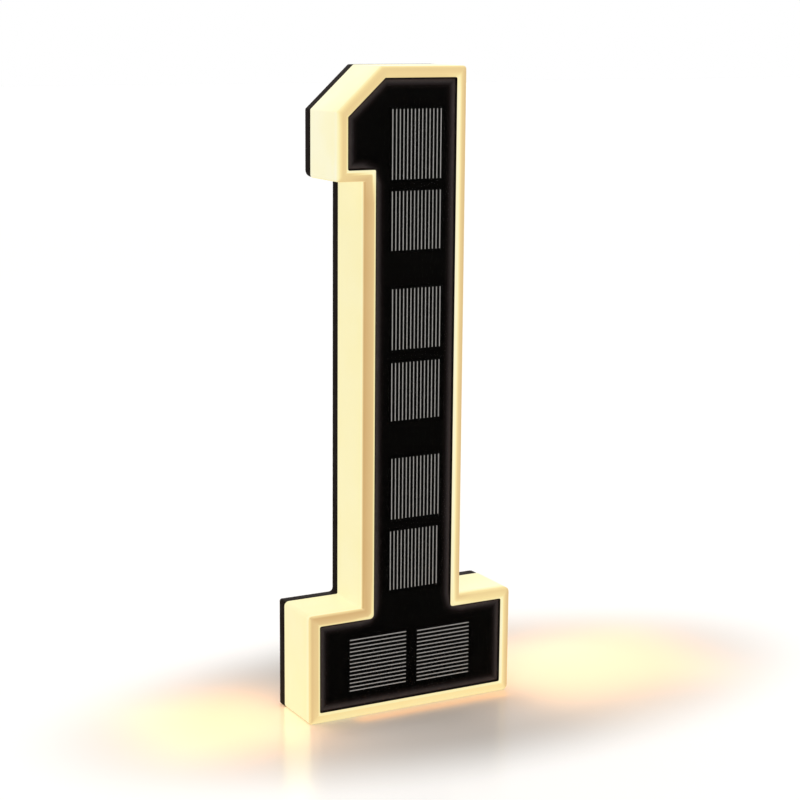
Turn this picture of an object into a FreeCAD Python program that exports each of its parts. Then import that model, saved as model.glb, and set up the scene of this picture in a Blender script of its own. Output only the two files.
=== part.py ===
# Solar-lit house number sign, the digit 1, standing on its foot.
# Millimetres. +Z up, the lit face looks along -Y, X = 0 is the middle of the stem,
# Z = 0 is the underside of the foot and Y = 0 is half-way through the depth.
import FreeCAD, Part
import math
import os

Vector = FreeCAD.Vector
TO_FRONT = Vector(0, -1, 0)
TO_BACK = Vector(0, 1, 0)

# ---- driving sizes of the digit ----
SIGN_HEIGHT = 250.0
SIGN_DEPTH = 28.5
STEM_HALF = 21.35           # half the width of the upright
FOOT_HALF = 44.5            # half the width of the foot
FOOT_HEIGHT = 43.3
HEAD_LEFT = 32.95           # reach of the flag at the top, left of the stem's middle
HEAD_UNDER = 208.0          # height of the flag's underside
CHAMFER_LOW = 233.6         # the slanted corner starts here on the left edge
CHAMFER_RIGHT = 15.0        # and ends this far left of the middle on the top edge

# ---- diffuser shell ----
COVER_EDGE = 4.9            # black edge of the rear cover, seen from the side
WALL = 2.0
RIM_WIDTH = 4.2             # glowing border round the panel
RIM_DROP = 0.8              # the rim leans back by this much towards its outer edge
RIM_ROUND = 1.0             # radius of the rim's outer edge
ROUND_STEPS = 3
LIP_WIDTH = 0.8             # small slope beside the panel
LIP_DEPTH = 0.6
FLOOR_THICK = 1.6           # wall behind the panel

# ---- solar panel, front to back ----
PANEL_GAP = 0.15
RESIN_THICK = 0.75
RESIN_BEVEL = 0.3
BOARD_THICK = 1.6
TAPE_THICK = 0.4
TAPE_WIDTH = 4.0
CELL_THICK = 0.25
CELL_MARGIN = 0.6           # silicon outside the outermost finger
CELL_POCKET_GAP = 0.1
FINGERS = 14
FINGER_WIDTH = 0.38
FINGER_THICK = 0.05
FINGER_FIELD = 20.9         # across the fourteen fingers
# middle across, middle height and finger length of each stem cell, from the top down; no two
# are quite in line, because the cells are laid one by one
STEM_CELLS = ((0.3, 221.3, 26.0), (0.3, 192.8, 22.2), (0.7, 155.5, 23.2),
              (0.6, 127.6, 22.4), (0.9, 89.6, 24.0), (0.5, 61.1, 23.5))
# left and right ends of the fingers and middle height of each foot cell
FOOT_CELLS = ((-27.2, -2.5, 21.2), (2.4, 25.9, 20.8))

# ---- rear cover and its fasteners ----
PLATE_THICK = 2.4
COVER_WALL = 3.35
COVER_BEVEL = 0.6           # round the edge of the back face
LIP_FIT = 0.15              # locating lip inside the shell's wall
LIP_REACH = 1.5
SEAL_INSET = 0.6
SEAL_SIZE = 0.8
SCREW_INSET = 4.6           # from the outer edge to a screw's middle
SCREW_BOSS_R = 2.7
COVER_BOSS_R = 3.25
SCREW_CLEAR_R = 1.45
SCREW_PILOT_R = 1.3
SCREW_SHANK_R = 1.25
SCREW_HEAD_R = 2.3
SCREW_HEAD_THICK = 1.6
SCREW_SINK_R = 2.6
SCREW_SINK_DEPTH = 1.8
SCREW_LENGTH = 9.0
SCREW_HEAD_ROUND = 0.5
SCREW_CROSS = (1.3, 0.3, 0.9)       # reach, half width and depth of the cross recess
PILOT_DEPTH = 10.0
MID_SCREW_HEIGHT = 125.0
KEYHOLE_HEIGHTS = (212.0, 92.0)
KEYHOLE_ENTRY_R = 4.2
KEYHOLE_SLOT_R = 2.1
KEYHOLE_RISE = 9.0
KEYHOLE_ROOM = 2.85         # depth behind the plate for the screw's head
KEYHOLE_POCKET_R = 5.2
KEYHOLE_POCKET_WALL = 0.8

# ---- light board ----
LIGHT_BOARD_FRONT = 7.0     # Y of its lit side
LIGHT_BOARD_THICK = 1.0
LIGHT_BOARD_INSET = 7.5
LIGHT_INSET = 9.5
LIGHT_SPACING = 20.0
LIGHT_SIZE = (3.5, 0.8, 2.8)
POSTS = ((0.0, 234.5), (0.0, 150.0), (-30.5, 21.5), (30.5, 21.5))
POST_R = 2.5
POST_PILOT_R = 0.85
POST_SCREW_R = 0.8
POST_SCREW_HEAD_R = 1.8
POST_SCREW_HEAD_THICK = 1.3
POST_SCREW_LENGTH = 4.2
POST_SCREW_CROSS = (1.0, 0.25, 0.7)
BOARD_HOLE_R = 1.1

# ---- push button ----
BUTTON_HEIGHT = 62.0
BUTTON_R = 4.5
BUTTON_CLEAR = 0.15
BUTTON_FLANGE_R = 5.6
BUTTON_FLANGE_THICK = 0.85
BUTTON_STOP_GAP = 0.05
COLLAR_GAP = 0.2            # round the flange, inside the collar that guides it
COLLAR_WALL = 1.0
BUTTON_PROUD = 0.6          # above the floor of the finger dish
BUTTON_EDGE_R = 0.4
BUTTON_TRAVEL = 1.2
DISH_TOP_R = 8.0
DISH_FLOOR_R = 6.8
DISH_DEPTH = 0.9
RING_R = 0.4
RING_CLEAR = 0.05           # between the sealing ring and the hole
GROOVE_FROM_INNER = 0.85    # centre of the ring's groove, from the plate's inner face
SWITCH_SIDE = 7.0
SWITCH_THICK = 4.0
PLUNGER_R = 1.5
PLUNGER_BORE_R = 1.6
PLUNGER_IN = 1.6            # how far the released plunger sits in the switch
PLUNGER_SPARE = 0.3         # bore left under the plunger when it is pressed home
PLUNGER_HOLE_R = 2.0
SWITCH_CORNER = 0.5

# ---- battery ----
BATTERY_HEIGHT = 21.5
BATTERY_R = 7.0
BATTERY_GAP = 0.2
BATTERY_LEFT = -23.9
BATTERY_RIGHT = 24.0
BATTERY_NUB_R = 2.75
BATTERY_ROUND = 0.6
HOLDER_BASE = 1.0
HOLDER_HALF_LENGTH = 27.0
HOLDER_HALF_WIDTH = 8.2
HOLDER_END = 1.4
HOLDER_END_REACH = 11.0
HOLDER_SIDE = 1.0
HOLDER_SIDE_REACH = 4.0
CLIP_HALF_LENGTH = 5.0
CLIP_REACH = 11.6
CLIP_HOOK = 2.0
CLIP_HOOK_THICK = 0.8
CONTACT_THICK = 0.4
CONTACT_HALF = 4.0
TONGUE_HALF = 2.0

# ---- panel leads and their plug ----
LEAD_R = 0.6
LEAD_SIDE = 1.25            # each lead's distance from the middle
LEAD_EXIT_HEIGHT = 109.0
LEAD_DEPTH_AT_PLUG = 5.0    # Y of the leads where they leave the plug
LEAD_BEND_SHARE = 0.45      # bend radius against the shorter leg of the lead
PLUG_TOP = 92.5
PLUG_BOTTOM = 86.0
PLUG_HALF_WIDTH = 3.0
PLUG_HALF_DEPTH = 1.25
SOCKET_TOP = 90.0
SOCKET_BOTTOM = 84.5
SOCKET_HALF_WIDTH = 3.8
SOCKET_WALL = 0.7
PLUG_FIT = 0.05
PLUG_CHAMFER = 0.3

# ---- circuit parts on the back of the light board ----
CHIP_PLACE = (0.0, 190.0)
CHIP_HALF = (1.95, 2.45)
CHIP_THICK = 1.5
CHIP_LIFT = 0.1
LEG_REACH = 1.0
LEG_HALF_WIDTH = 0.2
LEG_THICK = 0.2
LEG_PITCH = 1.27
LEGS_A_SIDE = 4
COIL_PLACE = (0.0, 178.0)
COIL_HALF = 2.5
COIL_THICK = 2.8
COIL_CORNER = 1.0
SMALL_HALF = (1.0, 0.625)   # capacitors and resistors
CAPACITOR_THICK = 1.2
RESISTOR_THICK = 0.5
CAPACITORS = ((-6, 186), (-6, 190), (-6, 194), (6, 178))
RESISTORS = ((6, 186), (6, 190), (6, 194), (-6, 178), (-6, 174), (6, 174))

NEAR = 0.01                 # tolerance for picking edges by where they are

# ---- planes worked out from the sizes above ----
FRONT = -SIGN_DEPTH / 2
BACK = SIGN_DEPTH / 2
JOINT = BACK - COVER_EDGE                   # where the shell meets the cover
RIM_EDGE = FRONT + RIM_DROP
PANEL_FRONT = FRONT + LIP_DEPTH
BOARD_FRONT = PANEL_FRONT + RESIN_THICK
BOARD_BACK = BOARD_FRONT + BOARD_THICK
FLOOR_FRONT = BOARD_BACK + TAPE_THICK
FLOOR_BACK = FLOOR_FRONT + FLOOR_THICK
PLATE_INNER = BACK - PLATE_THICK
LIGHT_BOARD_BACK = LIGHT_BOARD_FRONT + LIGHT_BOARD_THICK
FINGER_PITCH = (FINGER_FIELD - FINGER_WIDTH) / (FINGERS - 1)

# corners of the digit, anticlockwise as seen from the front
CORNERS = (
    ("foot_low_left", -FOOT_HALF, 0.0),
    ("foot_low_right", FOOT_HALF, 0.0),
    ("foot_top_right", FOOT_HALF, FOOT_HEIGHT),
    ("right_step", STEM_HALF, FOOT_HEIGHT),
    ("head_right", STEM_HALF, SIGN_HEIGHT),
    ("head_top", -CHAMFER_RIGHT, SIGN_HEIGHT),
    ("head_slant", -HEAD_LEFT, CHAMFER_LOW),
    ("head_low", -HEAD_LEFT, HEAD_UNDER),
    ("neck", -STEM_HALF, HEAD_UNDER),
    ("left_step", -STEM_HALF, FOOT_HEIGHT),
    ("foot_top_left", -FOOT_HALF, FOOT_HEIGHT),
)
# corner radii: a usual one, and the corners that differ
SHELL_RADII = {"usual": 1.2, "foot_low_right": 2.0, "foot_top_right": 2.0, "foot_top_left": 1.8,
               "right_step": 0.6, "left_step": 0.6, "neck": 0.5, "head_slant": 0.8, "head_top": 0.8}
PANEL_RADII = {"usual": 0.7, "left_step": 1.6, "right_step": 1.0, "neck": 0.5,
               "head_slant": 0.4, "head_top": 0.4}
COVER_RADII = {"usual": 0.8, "head_low": 2.6, "foot_top_right": 2.6, "left_step": 1.6}
BOARD_RADII = {"usual": 1.0}


def unit(x, z):
    length = math.hypot(x, z)
    return x / length, z / length


def inset_corners(inset):
    """The digit's corners after every edge has moved inwards by the same amount."""
    moved = []
    count = len(CORNERS)
    for i in range(count):
        _, x0, z0 = CORNERS[i - 1]
        _, x1, z1 = CORNERS[i]
        _, x2, z2 = CORNERS[(i + 1) % count]
        ax, az = unit(x1 - x0, z1 - z0)
        bx, bz = unit(x2 - x1, z2 - z1)
        # the two inward normals are (-az, ax) and (-bz, bx)
        share = inset / (1 + ax * bx + az * bz)
        moved.append((x1 - (az + bz) * share, z1 + (ax + bx) * share))
    return moved


def rounded_wire(points, radii, y):
    """A closed wire of lines and arcs in the plane Y = y, through rounded corners."""
    starts, ends, middles = [], [], []
    count = len(points)
    for i in range(count):
        x, z = points[i]
        ax, az = unit(x - points[i - 1][0], z - points[i - 1][1])
        nx, nz = points[(i + 1) % count]
        bx, bz = unit(nx - x, nz - z)
        half_turn = math.acos(max(-1.0, min(1.0, ax * bx + az * bz))) / 2
        back = radii[i] * math.tan(half_turn)
        starts.append(Vector(x - ax * back, y, z - az * back))
        ends.append(Vector(x + bx * back, y, z + bz * back))
        sx, sz = unit(bx - ax, bz - az)
        reach = radii[i] / math.cos(half_turn) - radii[i]
        middles.append(Vector(x + sx * reach, y, z + sz * reach))
    edges = []
    for i in range(count):
        edges.append(Part.Arc(starts[i], middles[i], ends[i]).toShape())
        edges.append(Part.LineSegment(ends[i], starts[(i + 1) % count]).toShape())
    return Part.Wire(edges)


def corner_radii(table):
    return [table.get(name, table["usual"]) for name, _, _ in CORNERS]


def rim_radii(inset):
    """Corner radii that change evenly from the shell's outside to the panel's outline."""
    share = min(inset / RIM_WIDTH, 1.0)
    pairs = zip(corner_radii(SHELL_RADII), corner_radii(PANEL_RADII))
    return [outer + (inner - outer) * share for outer, inner in pairs]


def slab(inset, radii, y0, y1):
    """The digit, inset, as a plate from y0 back to y1."""
    face = Part.Face(rounded_wire(inset_corners(inset), radii, y0))
    return face.extrude(Vector(0, y1 - y0, 0))


def sloped_slab(inset0, radii0, y0, inset1, radii1, y1):
    """The digit with sloping sides, from one inset at y0 to another at y1."""
    front = rounded_wire(inset_corners(inset0), radii0, y0)
    rear = rounded_wire(inset_corners(inset1), radii1, y1)
    return Part.makeLoft([front, rear], True, True)


def box(x0, x1, y0, y1, z0, z1):
    return Part.makeBox(x1 - x0, y1 - y0, z1 - z0, Vector(x0, y0, z0))


def rod(x, z, radius, y0, y1):
    """A round bar along Y."""
    return Part.makeCylinder(radius, y1 - y0, Vector(x, y0, z), TO_BACK)


def racetrack(z0, z1, radius, y0, y1):
    """An upright slot shape on the middle line, with round ends at z0 and z1."""
    body = box(-radius, radius, y0, y1, z0, z1)
    return body.fuse([rod(0, z0, radius, y0, y1), rod(0, z1, radius, y0, y1)]).removeSplitter()


def save(name, shape):
    if isinstance(shape, list):
        shape = Part.makeCompound(shape)
    shape.exportStep("parts/%s.step" % name)
    limits = shape.BoundBox
    print("%-18s %3d solids %10.1f mm3  x %6.1f..%6.1f  y %6.2f..%6.2f  z %6.1f..%6.1f  %s" % (
        name, len(shape.Solids), shape.Volume, limits.XMin, limits.XMax, limits.YMin, limits.YMax,
        limits.ZMin, limits.ZMax, "ok" if shape.isValid() else "INVALID"))


def screw_places():
    """Where the rear cover is screwed on: foot corners, half-way up, and the head."""
    side = FOOT_HALF - SCREW_INSET
    stem = STEM_HALF - SCREW_INSET
    return (
        (-side, SCREW_INSET), (side, SCREW_INSET),
        (side, FOOT_HEIGHT - SCREW_INSET), (-side, FOOT_HEIGHT - SCREW_INSET),
        (-stem, MID_SCREW_HEIGHT), (stem, MID_SCREW_HEIGHT),
        (stem, SIGN_HEIGHT - SCREW_INSET), (-HEAD_LEFT + SCREW_INSET, HEAD_UNDER + SCREW_INSET),
    )


def rim_profile():
    """Inset and Y of the rim's rounded outer edge, from the side wall to the rim's face."""
    slope = RIM_DROP / (RIM_WIDTH - LIP_WIDTH)
    tilt = math.atan(slope)
    centre = RIM_EDGE - slope * RIM_ROUND + RIM_ROUND / math.cos(tilt)
    points = []
    for step in range(ROUND_STEPS + 1):
        angle = (math.pi / 2 - tilt) * step / ROUND_STEPS
        points.append((RIM_ROUND * (1 - math.cos(angle)), centre - RIM_ROUND * math.sin(angle)))
    return points


def make_shell():
    profile = rim_profile() + [(RIM_WIDTH - LIP_WIDTH, FRONT)]
    shell = slab(0, rim_radii(0), profile[0][1], JOINT)
    for (inset0, y0), (inset1, y1) in zip(profile, profile[1:]):
        shell = shell.fuse(sloped_slab(inset1, rim_radii(inset1), y1, inset0, rim_radii(inset0), y0))
    shell = shell.removeSplitter()
    lip = sloped_slab(RIM_WIDTH - LIP_WIDTH, rim_radii(RIM_WIDTH - LIP_WIDTH), FRONT,
                      RIM_WIDTH, rim_radii(RIM_WIDTH), PANEL_FRONT)
    seat = slab(RIM_WIDTH, rim_radii(RIM_WIDTH), PANEL_FRONT, FLOOR_FRONT)
    hollow = slab(WALL, rim_radii(WALL), FLOOR_BACK, JOINT)
    shell = shell.cut(lip).cut(seat).cut(hollow)
    for x, z in screw_places():
        shell = shell.fuse(rod(x, z, SCREW_BOSS_R, FLOOR_BACK, JOINT))
    for x, z in screw_places():
        shell = shell.cut(rod(x, z, SCREW_PILOT_R, JOINT - PILOT_DEPTH, JOINT))
    lead_slot = box(-LEAD_SIDE - 2 * LEAD_R, LEAD_SIDE + 2 * LEAD_R, FLOOR_FRONT, FLOOR_BACK,
                    LEAD_EXIT_HEIGHT - 2 * LEAD_R, LEAD_EXIT_HEIGHT + 2 * LEAD_R)
    return shell.cut(lead_slot).removeSplitter()


def make_cover():
    radii = corner_radii(COVER_RADII)
    inner = corner_radii(BOARD_RADII)
    cover = slab(0, radii, JOINT, BACK - COVER_BEVEL)
    cover = cover.fuse(sloped_slab(0, radii, BACK - COVER_BEVEL, COVER_BEVEL, radii, BACK))
    cover = cover.cut(slab(COVER_WALL, inner, JOINT, PLATE_INNER))
    locator = slab(WALL + LIP_FIT, inner, JOINT - LIP_REACH, JOINT)
    locator = locator.cut(slab(COVER_WALL, inner, JOINT - LIP_REACH, JOINT))
    for x, z in screw_places():
        locator = locator.cut(rod(x, z, SCREW_BOSS_R + LIP_FIT, JOINT - LIP_REACH, JOINT))
    cover = cover.fuse(locator)
    for x, z in screw_places():
        cover = cover.fuse(rod(x, z, COVER_BOSS_R, JOINT, PLATE_INNER))
    groove = slab(SEAL_INSET, radii, JOINT, JOINT + SEAL_SIZE)
    groove = groove.cut(slab(SEAL_INSET + SEAL_SIZE, inner, JOINT, JOINT + SEAL_SIZE))
    cover = cover.cut(groove)
    for x, z in screw_places():
        cover = cover.cut(rod(x, z, SCREW_CLEAR_R, JOINT, BACK))
        cover = cover.cut(rod(x, z, SCREW_SINK_R, BACK - SCREW_SINK_DEPTH, BACK))
    for x, z in POSTS:
        cover = cover.fuse(rod(x, z, POST_R, LIGHT_BOARD_BACK, PLATE_INNER))
        cover = cover.cut(rod(x, z, POST_PILOT_R, LIGHT_BOARD_BACK, PLATE_INNER))
    for z in KEYHOLE_HEIGHTS:
        room = PLATE_INNER - KEYHOLE_ROOM
        pocket = racetrack(z, z + KEYHOLE_RISE, KEYHOLE_POCKET_R + KEYHOLE_POCKET_WALL,
                           room - KEYHOLE_POCKET_WALL, PLATE_INNER)
        cover = cover.fuse(pocket.cut(racetrack(z, z + KEYHOLE_RISE, KEYHOLE_POCKET_R,
                                                room, PLATE_INNER)))
        cover = cover.cut(rod(0, z, KEYHOLE_ENTRY_R, PLATE_INNER, BACK))
        cover = cover.cut(racetrack(z, z + KEYHOLE_RISE, KEYHOLE_SLOT_R, PLATE_INNER, BACK))
    # the collar keeps the button's flange square to the plate and meets the light board
    bore = BUTTON_FLANGE_R + COLLAR_GAP
    collar = rod(0, BUTTON_HEIGHT, bore + COLLAR_WALL, LIGHT_BOARD_BACK, PLATE_INNER)
    cover = cover.fuse(collar.cut(rod(0, BUTTON_HEIGHT, bore, LIGHT_BOARD_BACK, PLATE_INNER)))
    dish = Part.makeCone(DISH_FLOOR_R, DISH_TOP_R, DISH_DEPTH,
                         Vector(0, BACK - DISH_DEPTH, BUTTON_HEIGHT), TO_BACK)
    cover = cover.cut(dish)
    cover = cover.cut(rod(0, BUTTON_HEIGHT, BUTTON_R + BUTTON_CLEAR, PLATE_INNER, BACK))
    return cover.removeSplitter()


def make_seal():
    seal = slab(SEAL_INSET, corner_radii(COVER_RADII), JOINT, JOINT + SEAL_SIZE)
    return seal.cut(slab(SEAL_INSET + SEAL_SIZE, corner_radii(BOARD_RADII), JOINT, JOINT + SEAL_SIZE))


def cross_recess(x, z, reach, half_width, y0, y1):
    upright = box(x - half_width, x + half_width, y0, y1, z - reach, z + reach)
    return upright.fuse(box(x - reach, x + reach, y0, y1, z - half_width, z + half_width))


def make_cover_screw(x, z):
    seat = BACK - SCREW_SINK_DEPTH
    head_top = seat + SCREW_HEAD_THICK
    head = rod(x, z, SCREW_HEAD_R, seat, head_top)
    rim = [edge for edge in head.Edges if edge.BoundBox.YMin > head_top - NEAR]
    head = head.makeFillet(SCREW_HEAD_ROUND, rim)
    reach, half_width, depth = SCREW_CROSS
    head = head.cut(cross_recess(x, z, reach, half_width, head_top - depth, head_top))
    return head.fuse(rod(x, z, SCREW_SHANK_R, seat - SCREW_LENGTH, seat)).removeSplitter()


def make_board_screw(x, z):
    seat = LIGHT_BOARD_FRONT
    head_top = seat - POST_SCREW_HEAD_THICK
    head = rod(x, z, POST_SCREW_HEAD_R, head_top, seat)
    reach, half_width, depth = POST_SCREW_CROSS
    head = head.cut(cross_recess(x, z, reach, half_width, head_top, head_top + depth))
    return head.fuse(rod(x, z, POST_SCREW_R, seat, seat + POST_SCREW_LENGTH)).removeSplitter()


def cell_fields():
    """For each cell: low x, high x, low z, high z of its fingers, and whether they stand upright."""
    fields = []
    half = FINGER_FIELD / 2
    for x, z, length in STEM_CELLS:
        fields.append((x - half, x + half, z - length / 2, z + length / 2, True))
    for left, right, z in FOOT_CELLS:
        fields.append((left, right, z - half, z + half, False))
    return fields


def make_cell(field, grow, y0, y1):
    x0, x1, z0, z1, _ = field
    return box(x0 - grow, x1 + grow, y0, y1, z0 - grow, z1 + grow)


def make_fingers(field):
    x0, x1, z0, z1, upright = field
    rear = BOARD_FRONT - CELL_THICK
    strips = []
    for i in range(FINGERS):
        start = i * FINGER_PITCH
        if upright:
            strips.append(box(x0 + start, x0 + start + FINGER_WIDTH, rear - FINGER_THICK, rear, z0, z1))
        else:
            strips.append(box(x0, x1, rear - FINGER_THICK, rear, z0 + start, z0 + start + FINGER_WIDTH))
    return strips


def make_panel_cover():
    inset = RIM_WIDTH + PANEL_GAP
    radii = corner_radii(PANEL_RADII)
    resin = slab(inset, radii, PANEL_FRONT + RESIN_BEVEL, BOARD_FRONT)
    resin = resin.fuse(sloped_slab(inset + RESIN_BEVEL, radii, PANEL_FRONT,
                                   inset, radii, PANEL_FRONT + RESIN_BEVEL))
    pocket_front = BOARD_FRONT - CELL_THICK - 2 * FINGER_THICK
    for field in cell_fields():
        resin = resin.cut(make_cell(field, CELL_MARGIN + CELL_POCKET_GAP, pocket_front, BOARD_FRONT))
    return resin.removeSplitter()


def make_tape():
    inset = RIM_WIDTH + PANEL_GAP
    radii = corner_radii(BOARD_RADII)
    tape = slab(inset, radii, BOARD_BACK, FLOOR_FRONT)
    return tape.cut(slab(inset + TAPE_WIDTH, radii, BOARD_BACK, FLOOR_FRONT))


def light_places():
    """Evenly spaced along each edge of the inset digit: x, z and the edge's turn in degrees."""
    corners = inset_corners(LIGHT_INSET)
    places = []
    for i, (x0, z0) in enumerate(corners):
        x1, z1 = corners[(i + 1) % len(corners)]
        length = math.hypot(x1 - x0, z1 - z0)
        count = max(1, round(length / LIGHT_SPACING))
        for k in range(count):
            share = (k + 0.5) / count
            turn = math.degrees(math.atan2(z1 - z0, x1 - x0))
            places.append((x0 + (x1 - x0) * share, z0 + (z1 - z0) * share, turn))
    return places


def make_light(x, z, turn):
    width, thick, height = LIGHT_SIZE
    body = box(-width / 2, width / 2, LIGHT_BOARD_FRONT - thick, LIGHT_BOARD_FRONT, -height / 2, height / 2)
    body.rotate(Vector(0, 0, 0), TO_FRONT, turn)
    body.translate(Vector(x, 0, z))
    return body


def make_light_board():
    board = slab(LIGHT_BOARD_INSET, corner_radii(BOARD_RADII), LIGHT_BOARD_FRONT, LIGHT_BOARD_BACK)
    for x, z in POSTS:
        board = board.cut(rod(x, z, BOARD_HOLE_R, LIGHT_BOARD_FRONT, LIGHT_BOARD_BACK))
    return board.cut(rod(0, BUTTON_HEIGHT, PLUNGER_HOLE_R, LIGHT_BOARD_FRONT, LIGHT_BOARD_BACK))


def make_charge_chip():
    """A package with legs on both sides."""
    (x, z), (half_x, half_z), y = CHIP_PLACE, CHIP_HALF, LIGHT_BOARD_BACK
    chip = box(x - half_x, x + half_x, y + CHIP_LIFT, y + CHIP_THICK, z - half_z, z + half_z)
    reach = half_x + LEG_REACH
    for k in range(LEGS_A_SIDE):
        row = z + LEG_PITCH * (k - (LEGS_A_SIDE - 1) / 2)
        chip = chip.fuse(box(x - reach, x + reach, y, y + LEG_THICK,
                             row - LEG_HALF_WIDTH, row + LEG_HALF_WIDTH))
    return chip.removeSplitter()


def make_coil():
    x, z = COIL_PLACE
    coil = box(x - COIL_HALF, x + COIL_HALF, LIGHT_BOARD_BACK, LIGHT_BOARD_BACK + COIL_THICK,
               z - COIL_HALF, z + COIL_HALF)
    corners = [edge for edge in coil.Edges if edge.BoundBox.YLength > COIL_THICK - NEAR]
    return coil.makeFillet(COIL_CORNER, corners)


def small_parts(places, thick):
    """Capacitors or resistors in their places on the light board's back."""
    half_x, half_z = SMALL_HALF
    y = LIGHT_BOARD_BACK
    return [box(x - half_x, x + half_x, y, y + thick, z - half_z, z + half_z) for x, z in places]


def make_switch_body():
    half = SWITCH_SIDE / 2
    body = box(-half, half, LIGHT_BOARD_FRONT - SWITCH_THICK, LIGHT_BOARD_FRONT,
               BUTTON_HEIGHT - half, BUTTON_HEIGHT + half)
    corners = [edge for edge in body.Edges if edge.BoundBox.YLength > SWITCH_THICK - NEAR]
    body = body.makeChamfer(SWITCH_CORNER, corners)
    bore_depth = PLUNGER_IN + BUTTON_TRAVEL + PLUNGER_SPARE
    return body.cut(rod(0, BUTTON_HEIGHT, PLUNGER_BORE_R,
                        LIGHT_BOARD_FRONT - bore_depth, LIGHT_BOARD_FRONT))


def button_planes():
    flange_top = PLATE_INNER - BUTTON_STOP_GAP
    return flange_top - BUTTON_FLANGE_THICK, flange_top, BACK - DISH_DEPTH + BUTTON_PROUD


def make_button():
    flange_low, flange_top, top = button_planes()
    shaft = rod(0, BUTTON_HEIGHT, BUTTON_R, flange_top, top)
    shaft = shaft.makeFillet(BUTTON_EDGE_R, [e for e in shaft.Edges if e.BoundBox.YMin > top - NEAR])
    button = shaft.fuse(rod(0, BUTTON_HEIGHT, BUTTON_FLANGE_R, flange_low, flange_top))
    middle = PLATE_INNER + GROOVE_FROM_INNER
    outer = rod(0, BUTTON_HEIGHT, BUTTON_R + RING_R, middle - RING_R, middle + RING_R)
    inner = rod(0, BUTTON_HEIGHT, ring_radius() - RING_R, middle - RING_R, middle + RING_R)
    return button.cut(outer.cut(inner)).removeSplitter()


def ring_radius():
    """Middle radius of the sealing ring, which just clears the hole."""
    return BUTTON_R + BUTTON_CLEAR - RING_CLEAR - RING_R


def make_ring():
    centre = Vector(0, PLATE_INNER + GROOVE_FROM_INNER, BUTTON_HEIGHT)
    return Part.makeTorus(ring_radius(), RING_R, centre, TO_BACK)


def make_plunger():
    flange_low, _, _ = button_planes()
    return rod(0, BUTTON_HEIGHT, PLUNGER_R, LIGHT_BOARD_FRONT - PLUNGER_IN, flange_low)


def make_holder():
    base_front = LIGHT_BOARD_FRONT - HOLDER_BASE
    z0, z1 = BATTERY_HEIGHT - HOLDER_HALF_WIDTH, BATTERY_HEIGHT + HOLDER_HALF_WIDTH
    end = HOLDER_HALF_LENGTH
    holder = box(-end, end, base_front, LIGHT_BOARD_FRONT, z0, z1)
    for x0, x1 in ((-end, -end + HOLDER_END), (end - HOLDER_END, end)):
        holder = holder.fuse(box(x0, x1, base_front - HOLDER_END_REACH, base_front, z0, z1))
    for low, inward in ((z0, 1), (z1 - HOLDER_SIDE, -1)):
        holder = holder.fuse(box(-end, end, base_front - HOLDER_SIDE_REACH, base_front,
                                 low, low + HOLDER_SIDE))
        clip = box(-CLIP_HALF_LENGTH, CLIP_HALF_LENGTH, base_front - CLIP_REACH, base_front,
                   low, low + HOLDER_SIDE)
        hook_low = low if inward > 0 else low + HOLDER_SIDE - CLIP_HOOK
        hook = box(-CLIP_HALF_LENGTH, CLIP_HALF_LENGTH, base_front - CLIP_REACH - CLIP_HOOK_THICK,
                   base_front - CLIP_REACH, hook_low, hook_low + CLIP_HOOK)
        holder = holder.fuse([clip, hook])
    return holder.removeSplitter()


def battery_axis():
    return LIGHT_BOARD_FRONT - HOLDER_BASE - BATTERY_GAP - BATTERY_R


def make_battery():
    y, along = battery_axis(), Vector(1, 0, 0)
    can = Part.makeCylinder(BATTERY_R, BATTERY_RIGHT - BATTERY_LEFT,
                            Vector(BATTERY_LEFT, y, BATTERY_HEIGHT), along)
    rims = [edge for edge in can.Edges if edge.BoundBox.XLength < NEAR]
    can = can.makeFillet(BATTERY_ROUND, rims)
    nub_end = HOLDER_HALF_LENGTH - HOLDER_END - CONTACT_THICK
    nub = Part.makeCylinder(BATTERY_NUB_R, nub_end - BATTERY_RIGHT,
                            Vector(BATTERY_RIGHT, y, BATTERY_HEIGHT), along)
    return can.fuse(nub).removeSplitter()


def make_contacts():
    """The flat plate at the nub end and the sprung leaf at the other end."""
    y, z, half = battery_axis(), BATTERY_HEIGHT, CONTACT_HALF
    wall = HOLDER_HALF_LENGTH - HOLDER_END
    plate = box(wall - CONTACT_THICK, wall, y - half, y + half, z - half, z + half)
    leaf = box(-wall, -wall + CONTACT_THICK, y - half, y + half, z - half, z + half)
    z0, z1 = z - TONGUE_HALF, z + TONGUE_HALF
    tongue = box(BATTERY_LEFT - CONTACT_THICK, BATTERY_LEFT, y - half, y + half, z0, z1)
    bend = box(-wall, BATTERY_LEFT, y - half, y - half + CONTACT_THICK, z0, z1)
    return plate, leaf.fuse([tongue, bend]).removeSplitter()


def make_socket():
    y1 = LIGHT_BOARD_FRONT
    middle = LEAD_DEPTH_AT_PLUG
    y0 = middle - PLUG_HALF_DEPTH - SOCKET_WALL
    body = box(-SOCKET_HALF_WIDTH, SOCKET_HALF_WIDTH, y0, y1, SOCKET_BOTTOM, SOCKET_TOP)
    room_x, room_y = PLUG_HALF_WIDTH + PLUG_FIT, PLUG_HALF_DEPTH + PLUG_FIT
    room = box(-room_x, room_x, middle - room_y, middle + room_y, PLUG_BOTTOM, SOCKET_TOP)
    return body.cut(room)


def make_plug():
    y = LEAD_DEPTH_AT_PLUG
    plug = box(-PLUG_HALF_WIDTH, PLUG_HALF_WIDTH, y - PLUG_HALF_DEPTH, y + PLUG_HALF_DEPTH,
               PLUG_BOTTOM, PLUG_TOP)
    top = [edge for edge in plug.Edges if edge.BoundBox.ZMin > PLUG_TOP - NEAR]
    return plug.makeChamfer(PLUG_CHAMFER, top)


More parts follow.
